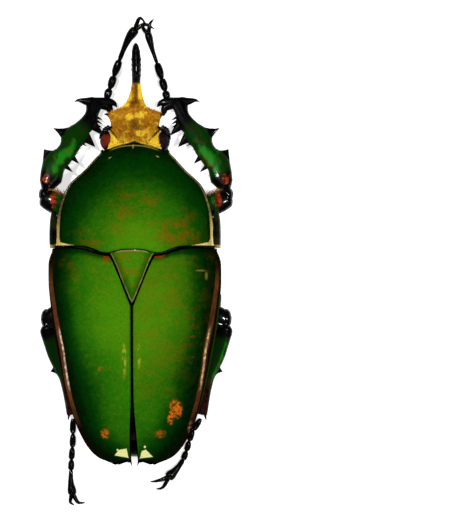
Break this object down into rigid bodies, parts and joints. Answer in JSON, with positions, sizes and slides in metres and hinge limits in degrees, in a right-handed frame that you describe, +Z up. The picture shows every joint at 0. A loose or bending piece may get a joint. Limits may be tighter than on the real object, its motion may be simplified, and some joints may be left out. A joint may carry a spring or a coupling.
{
  "type": "flower beetle specimen",
  "caption": "Life-size male horned flower beetle at rest, belly down, legs folded close, fore legs reaching forward past the horn; a still museum model",
  "frame": {"origin": "on the floor, under the middle of the whole outline", "axes": "+Y from the tail to the head along the body, +X to the beetle's right, +Z up from the belly to the back"},
  "size_m": [0.0354, 0.0894, 0.0176],
  "materials": {
    "pronotum_green": "velvety deep green shell, darker towards its sides, with a cream edge line",
    "elytra_green": "silky green shell with dark sides, a copper margin and cream and orange spots",
    "head_down": "short golden down with dark speckles",
    "horn_black": "polished black chitin",
    "eye": "polished red-brown eye",
    "underside": "olive-black chitin with a bronze gloss and short brown hair",
    "leg": "polished black-green chitin, red-brown at the joints",
    "foot": "polished black chitin"
  },
  "bodies": {
    "root": {"pronotum": "pronotum_green", "scutellum": "elytra_green", "elytron_left": "elytra_green", "elytron_right": "elytra_green", "pygidium": "underside", "head": "head_down", "horn": "horn_black", "eye_left": "eye", "eye_right": "eye", "antenna_left": "horn_black", "antenna_right": "horn_black", "mouthparts": "horn_black", "prosternum": "underside", "metasternum": "underside", "abdomen": "underside", "mesepimeron_left": "underside", "mesepimeron_right": "underside", "front_coxa_left": "leg", "front_coxa_right": "leg", "mid_coxa_left": "leg", "mid_coxa_right": "leg", "hind_coxa_left": "leg", "hind_coxa_right": "leg", "front_femur_left": "leg", "front_femur_right": "leg", "mid_femur_left": "leg", "mid_femur_right": "leg", "hind_femur_left": "leg", "hind_femur_right": "leg", "front_tibia_left": "leg", "front_tibia_right": "leg", "mid_tibia_left": "leg", "mid_tibia_right": "leg", "hind_tibia_left": "leg", "hind_tibia_right": "leg", "front_tarsus_left": "foot", "front_tarsus_right": "foot", "mid_tarsus_left": "foot", "mid_tarsus_right": "foot", "hind_tarsus_left": "foot", "hind_tarsus_right": "foot"}
  },
  "joints": []
}
